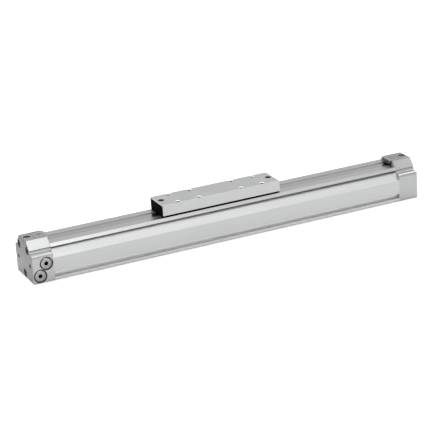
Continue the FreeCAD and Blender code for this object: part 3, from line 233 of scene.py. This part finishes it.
def extruded_aluminium(name="extruded_aluminium", tone=0.382, roughness=0.33):
    """Natural anodised extrusion: faint die lines along the length over a fine matt grain."""
    made = Material(name, cool_grey(tone), roughness, metallic=1.0)
    lines = made.noise(900, ALONG, detail=4)
    cloud = made.noise(14, (0.4, 1, 1), detail=2)
    grain = made.noise(5200, EVEN, detail=1)
    made.tint(made.times(made.span(lines, 0.965, 1.02), made.span(cloud, 0.98, 1.02)))
    made.gloss(made.span(lines, roughness - 0.04, roughness + 0.04))
    made.bump(lines, 2.2 * MICRON)
    made.bump(grain, 1.6 * MICRON)
    return made.data


def blasted_aluminium(name="blasted_aluminium", tone=0.345, roughness=0.37):
    """Anodised over a fine blasted surface, with a slight cloudiness."""
    made = Material(name, cool_grey(tone), roughness, metallic=1.0)
    grain = made.noise(3800, EVEN, detail=2)
    cloud = made.noise(45, EVEN, detail=3)
    made.tint(made.times(made.span(grain, 0.97, 1.02), made.span(cloud, 0.975, 1.02)))
    made.gloss(made.span(cloud, roughness - 0.03, roughness + 0.04))
    made.bump(grain, 3 * MICRON)
    return made.data


def tooled(name, tone):
    """A machined and anodised surface with fine tool lines across the piece, and those lines."""
    made = Material(name, cool_grey(tone, blue=1.01), roughness=0.38, metallic=1.0)
    lines = made.noise(1600, ACROSS, detail=3)
    made.gloss(made.span(lines, 0.33, 0.44))
    made.bump(lines, 2.5 * MICRON)
    return made, lines


def milled_aluminium(name="milled_aluminium", tone=0.44):
    """Machined aluminium, slightly cloudy."""
    made, lines = tooled(name, tone)
    cloud = made.noise(30, EVEN, detail=2)
    made.tint(made.times(made.span(lines, 0.96, 1.03), made.span(cloud, 0.98, 1.02)))
    return made.data


def end_painted_shade():
    """Painted shade on the end faces: a dark copy of the machined aluminium, darker toward the top."""
    made, lines = tooled("end_painted_shade", tone=0.125)
    axes = made.add("ShaderNodeSeparateXYZ")
    made.join(made.place, axes.inputs["Vector"])
    # Painted shade: a tint that falls from bright at the foot to dark at the top of the end face.
    shade = made.span(axes.outputs["Z"], 1.6, 0.58, start=0.0, end=CAP_TOP * MM)
    made.tint(made.times(made.span(lines, 0.96, 1.03), shade))
    return made.data


def band_steel():
    """Cold rolled spring strip, bright, with fine lines along its length."""
    made = Material("band_steel", (0.325, 0.325, 0.328), roughness=0.24, metallic=1.0)
    lines = made.noise(2600, (0.006, 1, 1), detail=3)
    wear = made.noise(60, (0.15, 1, 1), detail=3)
    made.tint(made.span(lines, 0.93, 1.05))
    made.gloss(made.times(made.span(lines, 0.15, 0.24), made.span(wear, 0.85, 1.2)))
    made.bump(lines, 1.2 * MICRON)
    return made.data


def turned_steel(name, tone, roughness):
    """Zinc plated steel with a faint satin mottle."""
    made = Material(name, (tone, tone, tone * 0.99), roughness, metallic=1.0)
    mottle = made.noise(900, EVEN, detail=4)
    fine = made.noise(4200, EVEN, detail=1)
    made.tint(made.span(mottle, 0.92, 1.05))
    made.gloss(made.span(mottle, roughness - 0.06, roughness + 0.10))
    made.bump(fine, 1.5 * MICRON)
    return made.data


def black_steel():
    """Black oxide on steel, slightly oily."""
    made = Material("black_steel", (0.010, 0.010, 0.011), roughness=0.42, metallic=0.4)
    mottle = made.noise(1100, EVEN, detail=4)
    made.tint(made.span(mottle, 0.7, 1.5))
    made.gloss(made.span(mottle, 0.30, 0.48))
    made.bump(mottle, 1.5 * MICRON)
    return made.data


def black_plastic():
    """Moulded black plastic with a fine matt grain."""
    made = Material("black_plastic", (0.0012, 0.0012, 0.0013), roughness=0.75)
    made.shader.inputs["IOR"].default_value = 1.06
    grain = made.noise(2400, EVEN, detail=3)
    made.tint(made.span(grain, 0.8, 1.3))
    made.gloss(made.span(grain, 0.62, 0.78))
    made.bump(grain, 6 * MICRON)
    return made.data


def pale_plastic():
    """Low-friction plastic, slightly waxy."""
    made = Material("pale_plastic", (0.62, 0.60, 0.52), roughness=0.42)
    cloud = made.noise(500, EVEN, detail=3)
    made.shader.inputs["Subsurface Weight"].default_value = 0.1
    made.tint(made.span(cloud, 0.93, 1.05))
    made.gloss(made.span(cloud, 0.36, 0.5))
    return made.data


def seal_rubber():
    """Smooth moulded rubber with a dry bloom."""
    made = Material("seal_rubber", (0.012, 0.012, 0.013), roughness=0.6)
    bloom = made.noise(700, EVEN, detail=4)
    made.tint(made.span(bloom, 0.8, 1.9))
    made.gloss(made.span(bloom, 0.5, 0.72))
    made.bump(bloom, 3 * MICRON)
    return made.data


def magnet():
    """Dark sintered magnet."""
    made = Material("magnet", (0.05, 0.05, 0.053), roughness=0.5, metallic=0.8)
    grain = made.noise(2600, EVEN, detail=4)
    made.tint(made.span(grain, 0.7, 1.4))
    made.bump(grain, 8 * MICRON)
    return made.data


def recess_painted_shade():
    """Painted shade at the foot of narrow holes, almost black."""
    made = Material("recess_painted_shade", (0.006, 0.006, 0.006), roughness=0.8)
    made.shader.inputs["Specular IOR Level"].default_value = 0.1
    shade_noise = made.noise(900, EVEN, detail=3)
    made.tint(made.span(shade_noise, 0.7, 1.6))
    made.gloss(made.span(shade_noise, 0.7, 0.9))
    return made.data


# Material of each CAD slot, then the painted light and painted shade that only some faces of a node have

MATERIALS = {
    "barrel_aluminium": extruded_aluminium(),
    "cap_aluminium": blasted_aluminium(),
    "carriage_aluminium": blasted_aluminium("carriage_aluminium", tone=0.408, roughness=0.42),
    "inner_aluminium": milled_aluminium(),
    "band_steel": band_steel(),
    "plug_steel": turned_steel("plug_steel", tone=0.275, roughness=0.34),
    "bright_steel": turned_steel("bright_steel", tone=0.35, roughness=0.30),
    "black_steel": black_steel(),
    "black_plastic": black_plastic(),
    "guide_plastic": pale_plastic(),
    "seal_rubber": seal_rubber(),
    "magnet": magnet(),
    # Painted light: a brighter copy of the extruded aluminium lifts the shade in the grooves and the band's
    # recess.
    "groove_painted_light": extruded_aluminium("groove_painted_light", tone=0.66, roughness=0.5),
    # Painted light: a brighter copy lifts the shade on the lip under each groove.
    "foot_painted_light": extruded_aluminium("foot_painted_light", tone=0.47, roughness=0.4),
    # Painted shade: a darker copy of the blasted aluminium on the tops of the caps and band clamps.
    "top_painted_shade": blasted_aluminium("top_painted_shade", tone=0.295),
    "end_painted_shade": end_painted_shade(),
    # Painted shade: near black steel for the heads of the end cap screws.
    "shaded_steel": turned_steel("shaded_steel", tone=0.06, roughness=0.34),
    # Painted light: a brighter copy of the machined aluminium on the cap ledges, port mouths and carriage
    # countersinks.
    "painted_light_aluminium": milled_aluminium("painted_light_aluminium", tone=0.58),
    "recess_painted_shade": recess_painted_shade(),
}
SLOT_OF = {entry["node"]: entry["material_slot"] for entry in frame["record"]["subparts"]}


def new_piece(name, mesh, slot):
    """A visible piece with the material of a slot."""
    piece = bpy.data.objects.new(name, mesh)
    bpy.context.scene.collection.objects.link(piece)
    mesh.materials.clear()
    mesh.materials.append(MATERIALS[slot])
    return piece


# CAD nodes that are shown as they are

for name, node in nodes.items():
    node.data.materials.clear()
    node.data.materials.append(MATERIALS[SLOT_OF[name]])


# Nodes that have painted light or painted shade on some of their faces
# NEAR is how far, in millimetres, a face's centre may lie from a surface and still count as on it.
# The other two are parts of a normal along an axis: above SQUARE a face is square to that axis,
# and below SLOPING it lies more along the axis than across it.

NEAR = 0.1
SQUARE = 0.99
SLOPING = 0.5

# Spots of holes, seen along their axes: (y, z) in the ends, (x, z) in the sides and (x, y) on top.
# The open ports on the back stand opposite the plugged ones.

CAP_SCREW_SPOTS = (
    (-CAP_SCREW_SIDE, CAP_SCREW_HEIGHT),
    (CAP_SCREW_SIDE, CAP_SCREW_HEIGHT),
    (0.0, CAP_SCREW_LOW),
)
BRACKET_THREADS = mount("left_end_threads")
BRACKET_HEIGHT = BRACKET_THREADS["pos_m"][2] / MM
BRACKET_SIDE = BRACKET_THREADS["dims"]["spacing_x_mm"] / 2
BRACKET_SPOTS = ((-BRACKET_SIDE, BRACKET_HEIGHT), (BRACKET_SIDE, BRACKET_HEIGHT))
PORT_PLACES = [mount(name)["pos_m"] for name in ("lower_air_port", "upper_air_port")]
PORT_SPOTS = [(place[0] / MM, place[2] / MM) for place in PORT_PLACES]
NEEDLE_SPOTS = [(-(NEEDLE_LOW.x + NEEDLE_HIGH.x) / 2, 0.0)]
THREAD_PATTERNS = [mount(name)["dims"] for name in ("carriage_outer_threads", "carriage_inner_threads")]
MOUNT_SPOTS = [(dims["spacing_x_mm"] / 2, dims["spacing_y_mm"] / 2) for dims in THREAD_PATTERNS]
COVER_SCREW_SPOTS = [(CARRIAGE_HIGH.x - CARRIAGE_X - COVER_SCREW_FROM_END, 0.0)]


def within(first, second, spots, width):
    """Whether a place is inside a round hole of that width at one of the spots, or on its wall."""
    return any(math.hypot(first - spot[0], second - spot[1]) < width / 2 + NEAR for spot in spots)


def corners(socket):
    """Width of a hexagon socket across its corners."""
    return socket * 2 / math.sqrt(3)


def cap_light_and_shade(centre, normal):
    """Painted shade on the end faces and the tops, painted light on the ledges and port mouths, and painted
    shade, almost black, in the holes and on the walls beside the band clamp.
    """
    x, y, z = centre
    depth = CAP_END - abs(x)
    below_top = z < CAP_TOP - NEAR
    on_ledge = normal.z > SQUARE and abs(z - SHELF_HEIGHT) < NEAR and abs(y) > LEDGE_WIDTH / 2
    in_mouth = y < PLUG_FACE_DEPTH - HALF_WIDTH and within(x, z, PORT_SPOTS, PORT_FACE_WIDTH)
    in_screw_recess = within(y, z, CAP_SCREW_SPOTS, CAP_SCREW_RECESS)
    in_bracket_hole = within(y, z, BRACKET_SPOTS, BRACKET_HOLE_WIDTH)
    in_needle_recess = within(abs(x), y, NEEDLE_SPOTS, NEEDLE_RECESS_WIDTH)
    in_channel = abs(x) < NEAR - CLAMP_LOW.x + CLAMP_GAP and abs(y) < CLAMP_HIGH.y + CLAMP_GAP + NEAR
    if on_ledge or (in_mouth and abs(normal.y) < SLOPING):
        return "painted_light_aluminium"
    if abs(normal.x) > SQUARE and depth < NEAR:
        return "end_painted_shade"
    if normal.z > SQUARE and not below_top:
        return "top_painted_shade"
    if NEAR < depth < BRACKET_HOLE_DEPTH + NEAR and (in_screw_recess or in_bracket_hole):
        return "recess_painted_shade"
    if below_top and (in_needle_recess or (in_channel and abs(normal.z) < SLOPING)):
        return "recess_painted_shade"
    return None


def cap_screw_shade(centre, normal):
    """Heads in painted shade, with painted shade, almost black, in the sockets."""
    x, y, z = centre
    in_socket = within(y, z, CAP_SCREW_SPOTS, corners(CAP_SCREW_SOCKET)) and abs(x) < CAP_SCREW_END - NEAR
    return "recess_painted_shade" if in_socket else "shaded_steel"


def plug_shade(centre, normal):
    """Painted shade, almost black, in the sockets."""
    x, y, z = centre
    in_socket = within(x, z, PORT_SPOTS, corners(PLUG_SOCKET)) and y > PLUG_FACE + PLUG_DISH_DEPTH + NEAR
    return "recess_painted_shade" if in_socket else None


def needle_shade(centre, normal):
    """Painted shade, almost black, in the socket and below."""
    x, y, z = centre
    in_socket = within(abs(x), y, NEEDLE_SPOTS, corners(NEEDLE_SOCKET)) and z < NEEDLE_TOP - NEAR
    return "recess_painted_shade" if in_socket else None


def barrel_light(centre, normal):
    """Painted light on the walls of the band's recess, in the side grooves and on the lip under each
    groove.
    """
    x, y, z = centre
    recess_half = BAND_HIGH.y + BAND_SIDE_GAP
    groove_floor = GROOVE_BOTTOM - GROOVE_UNDERCUT
    groove_roof = GROOVE_BOTTOM + GROOVE_MOUTH + GROOVE_UNDERCUT
    if abs(normal.x) > SLOPING:
        return None
    if z > BAND_LOW.z and abs(normal.y) > SLOPING and abs(abs(y) - recess_half) < NEAR:
        return "groove_painted_light"
    if abs(y) < HALF_WIDTH - GROOVE_DEPTH - NEAR or not NEAR < z < groove_roof + NEAR:
        return None
    if abs(y) < HALF_WIDTH - NEAR and z > groove_floor - NEAR:
        return "groove_painted_light"
    return "foot_painted_light" if z < GROOVE_BOTTOM else None


def clamp_shade(centre, normal):
    """The painted shade of the end face and of the top, as on the cap around it."""
    if abs(normal.x) > SQUARE:
        return "end_painted_shade"
    return "top_painted_shade" if normal.z > SQUARE else None


def carriage_light_and_shade(centre, normal):
    """Painted light in the countersinks, with painted shade, almost black, in the bores below them and in
    the counterbores.
    """
    x, y, z = centre
    spot = (abs(x - CARRIAGE_X), abs(y))
    countersink_depth = (MOUNT_COUNTERSINK - MOUNT_HOLE_WIDTH) / 2
    if z > CARRIAGE_TOP - NEAR:
        return None
    if within(*spot, COVER_SCREW_SPOTS, COVER_SCREW_RECESS):
        return "recess_painted_shade"
    if within(*spot, MOUNT_SPOTS, MOUNT_COUNTERSINK):
        return "painted_light_aluminium" if z > CARRIAGE_TOP - countersink_depth else "recess_painted_shade"
    return None


def cover_screw_shade(centre, normal):
    """Painted shade, almost black, in the sockets and below."""
    x, y, z = centre
    spot = (abs(x - CARRIAGE_X), abs(y))
    return "recess_painted_shade" if within(*spot, COVER_SCREW_SPOTS, corners(COVER_SCREW_SOCKET)) else None


def dressed_copy(node, painted_of):
    """A node's own shape with painted light or painted shade on some faces, shown in place of the node."""
    mesh = nodes[node].data.copy()
    slot = SLOT_OF[node]
    piece = new_piece(f"{node}_dressed", mesh, slot)
    used = [slot]
    for face in mesh.polygons:
        face_material = painted_of(face.center / MM, face.normal) or slot
        if face_material not in used:
            used.append(face_material)
            mesh.materials.append(MATERIALS[face_material])
        face.material_index = used.index(face_material)
    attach(piece, body_name(node))
    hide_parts(node)


PAINTED_LIGHT_AND_SHADE_OF = {
    "barrel": barrel_light,
    "end_cap_left": cap_light_and_shade,
    "end_cap_right": cap_light_and_shade,
    "end_cap_screws": cap_screw_shade,
    "port_plugs": plug_shade,
    "cushion_screw_left": needle_shade,
    "cushion_screw_right": needle_shade,
    "band_clamp_left": clamp_shade,
    "band_clamp_right": clamp_shade,
    "carriage": carriage_light_and_shade,
    "end_cover_screws": cover_screw_shade,
}
for name, painted_of in PAINTED_LIGHT_AND_SHADE_OF.items():
    dressed_copy(name, painted_of)


# Bands

BAND_THICKNESS = 0.5
BAND_EDGE = 0.12
ARC_STEPS = 14
CREASE_ANGLE = 25


class Strip:
    """A steel band that runs straight through the barrel and rises or dips inside the carriage.

    flat is half the length of the raised or dipped part, and ramp is the length of the bend beside it.
    """

    def __init__(self, node, rises, flat, ramp):
        low, high = box_mm(node)
        levels = (low.z + BAND_THICKNESS / 2, high.z - BAND_THICKNESS / 2)
        self.node = node
        self.half_width = high.y
        self.reach = high.x
        self.level, self.inner_level = levels if rises else reversed(levels)
        self.flat = flat
        self.ramp = ramp

    def path(self, side):
        """Centreline of one half from its cap to the middle of the carriage: (distance from it, height)."""
        rise = self.inner_level - self.level
        angle = 2 * math.atan(abs(rise) / self.ramp)
        radius = self.ramp / (2 * math.sin(angle))
        turns = [angle * step / ARC_STEPS for step in range(ARC_STEPS + 1)]
        slide = [radius * math.sin(turn) for turn in turns]
        climb = [math.copysign(radius * (1 - math.cos(turn)), rise) for turn in turns]
        points = [(self.reach - side * CARRIAGE_X, self.level)]
        for along, up in zip(slide, climb):
            points.append((self.flat + self.ramp - along, self.level + up))
        for along, up in reversed(list(zip(slide[:-1], climb[:-1]))):
            points.append((self.flat + along, self.inner_level - up))
        points.append((0.0, self.inner_level))
        return points

    def outline(self):
        """Cross-section with narrow bevelled edges, as (y, height above the centreline)."""
        top = BAND_THICKNESS / 2
        upper = [
            (-self.half_width, top - BAND_EDGE),
            (-self.half_width + BAND_EDGE, top),
            (self.half_width - BAND_EDGE, top),
            (self.half_width, top - BAND_EDGE),
        ]
        return upper + [(y, -up) for y, up in reversed(upper)]


def swept(strip, side):
    """Mesh of one half of a band: its cross-section carried along its path."""
    shape = bmesh.new()
    rings = []
    for along, height in strip.path(side):
        x = CARRIAGE_X + side * along
        rings.append([shape.verts.new((x * MM, y * MM, (height + up) * MM)) for y, up in strip.outline()])
    for before, after in zip(rings, rings[1:]):
        for index in range(len(before)):
            following = (index + 1) % len(before)
            shape.faces.new((before[index], before[following], after[following], after[index]))
    shape.faces.new(rings[0])
    shape.faces.new(rings[-1])
    bmesh.ops.recalc_face_normals(shape, faces=shape.faces)
    mesh = bpy.data.meshes.new(strip.node)
    shape.to_mesh(mesh)
    shape.free()
    mesh.shade_smooth()
    mesh.set_sharp_from_angle(angle=math.radians(CREASE_ANGLE))
    return mesh


def band_half(strip, side):
    """Half of a band: its straight run and its raised or dipped part inside the carriage."""
    name = f"{strip.node}_{'right' if side > 0 else 'left'}"
    piece = new_piece(name, swept(strip, side), SLOT_OF[strip.node])
    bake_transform(piece)
    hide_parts(strip.node)


OUTER_STRIP = Strip("outer_band", rises=True, flat=31, ramp=42)
INNER_STRIP = Strip("inner_band", rises=False, flat=22, ramp=40)
for side in (-1, 1):
    band_half(OUTER_STRIP, side)
    band_half(INNER_STRIP, side)


# Camera at the photograph's viewing angle: place in metres, angles in degrees, lens in millimetres

CAMERA_PLACE = (-0.90182, -1.95090, 0.84591)
CAMERA_HEADING = -24.607
CAMERA_TILT = 68.973
CAMERA_ROLL = -3.251
CAMERA_LENS = 146.33
SENSOR_WIDTH = 36
FAR_CLIP = 100


def rotation(degrees, axis):
    """A turn about one axis, as a matrix."""
    return Matrix.Rotation(math.radians(degrees), 4, axis)


def add_camera():
    """The camera, turned by heading, then tilt, then roll about its own view axis."""
    camera = bpy.data.objects.new("camera", bpy.data.cameras.new("camera"))
    bpy.context.scene.collection.objects.link(camera)
    camera.data.sensor_width = SENSOR_WIDTH
    camera.data.lens = CAMERA_LENS
    camera.data.clip_end = FAR_CLIP
    turned = rotation(CAMERA_HEADING, "Z") @ rotation(CAMERA_TILT, "X") @ rotation(CAMERA_ROLL, "Z")
    camera.matrix_world = Matrix.Translation(CAMERA_PLACE) @ turned
    bpy.context.scene.camera = camera


# Floor and light, in metres

FLOOR_REACH = 14.0
FLOOR_GAP = 0.0002
WORLD_STRENGTH = 0.95
MIDDLE = (0, 0, 0)


def add_floor():
    """A plain pale floor just under the part."""
    mesh = bpy.data.meshes.new("floor")
    corner_signs = ((-1, -1), (1, -1), (1, 1), (-1, 1))
    mesh.from_pydata([(x * FLOOR_REACH, y * FLOOR_REACH, 0) for x, y in corner_signs], [], [(0, 1, 2, 3)])
    made = Material("floor", (0.93, 0.93, 0.93), roughness=0.75)
    made.tint(made.span(made.noise(3, EVEN), 0.995, 1.005))
    mesh.materials.append(made.data)
    floor = bpy.data.objects.new("floor", mesh)
    floor.location.z = -FLOOR_GAP
    bpy.context.scene.collection.objects.link(floor)


def add_world():
    """Even white surroundings."""
    world = bpy.data.worlds.new("world")
    world.use_nodes = True
    background = world.node_tree.nodes["Background"]
    background.inputs["Color"].default_value = (1, 1, 1, 1)
    background.inputs["Strength"].default_value = WORLD_STRENGTH
    bpy.context.scene.world = world
    bpy.context.scene.view_settings.view_transform = "Standard"


def add_area(name, place, target, size, power):
    """A soft rectangular light that faces its target."""
    light = bpy.data.lights.new(name, "AREA")
    light.shape = "RECTANGLE"
    light.size, light.size_y = size
    light.energy = power
    item = bpy.data.objects.new(name, light)
    item.location = place
    direction = Vector(target) - Vector(place)
    item.rotation_euler = direction.to_track_quat("-Z", "Y").to_euler()
    bpy.context.scene.collection.objects.link(item)


def add_lights():
    """Soft lights from the front, the right and the left, and a strong one high behind for the tops."""
    add_area("key", place=(-0.04, -1.36, 1.85), target=MIDDLE, size=(0.9, 0.8), power=11.5)
    add_area("right", place=(1.27, 0.0, 1.92), target=MIDDLE, size=(1.2, 1.2), power=13.5)
    add_area("high_left", place=(-0.35, 0.2, 2.27), target=MIDDLE, size=(0.8, 0.6), power=2.0)
    add_area("low_left", place=(-0.9, 1.1, 1.3), target=(-0.33, 0.1, 0), size=(0.8, 0.8), power=7.0)
    add_area("front", place=(-0.57, -0.80, 2.05), target=MIDDLE, size=(1.0, 1.0), power=6.5)
    add_area("high_right", place=(0.80, -0.65, 2.0), target=MIDDLE, size=(0.5, 0.5), power=1.0)
    add_area("top_back", place=(-0.3, 1.3, 3.2), target=(0, 0.3, 0), size=(1.6, 1.2), power=32)


add_camera()
add_floor()
add_world()
add_lights()
